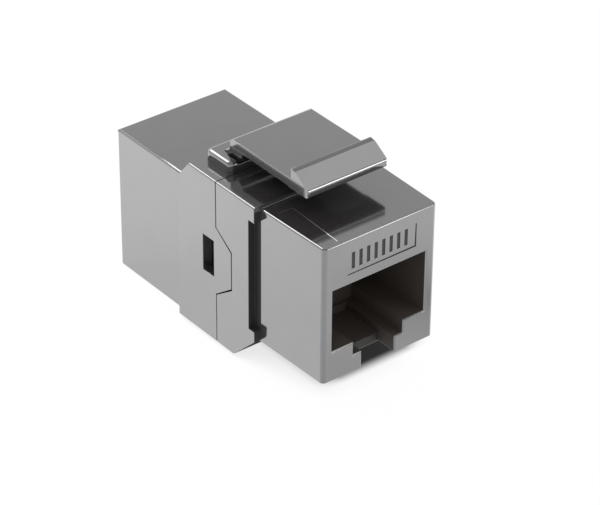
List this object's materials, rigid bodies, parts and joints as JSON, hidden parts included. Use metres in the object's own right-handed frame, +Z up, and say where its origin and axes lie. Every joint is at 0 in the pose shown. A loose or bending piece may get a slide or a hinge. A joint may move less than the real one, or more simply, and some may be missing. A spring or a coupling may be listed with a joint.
{
  "type": "keystone coupler jack",
  "caption": "Inline keystone coupler with an eight-contact modular jack at each end, a snap-in panel body with a flexing latch arm on top and a fixed hook below.",
  "frame": {"origin": "centre of the bounding box, on the plane the coupler rests on", "axes": "+X across the jack, +Y from the front plug port to the rear one, +Z up towards the latch arm"},
  "size_m": [0.0168, 0.0356, 0.0247],
  "materials": {
    "black_plastic": "polished moulded plastic, black",
    "carrier_plastic": "fine matt moulded plastic, black",
    "board": "green solder mask over glass-epoxy board",
    "gold": "gold-plated phosphor bronze, bright"
  },
  "bodies": {
    "housing": {"front_housing": "black_plastic", "rear_housing": "black_plastic", "front_contact_carrier": "carrier_plastic", "rear_contact_carrier": "carrier_plastic", "circuit_board": "board", "front_contact_1": "gold", "front_contact_2": "gold", "front_contact_3": "gold", "front_contact_4": "gold", "front_contact_5": "gold", "front_contact_6": "gold", "front_contact_7": "gold", "front_contact_8": "gold", "rear_contact_1": "gold", "rear_contact_2": "gold", "rear_contact_3": "gold", "rear_contact_4": "gold", "rear_contact_5": "gold", "rear_contact_6": "gold", "rear_contact_7": "gold", "rear_contact_8": "gold"},
    "latch": {"latch_arm": "black_plastic"}
  },
  "joints": [
    {"name": "latch_flex", "type": "hinge", "parent": "housing", "child": "latch", "pos_m": [0, -0.0002, 0.0213], "axis": [1, 0, 0], "range_deg": [0, 10], "stiffness_Nm_per_rad": 0.5}
  ]
}
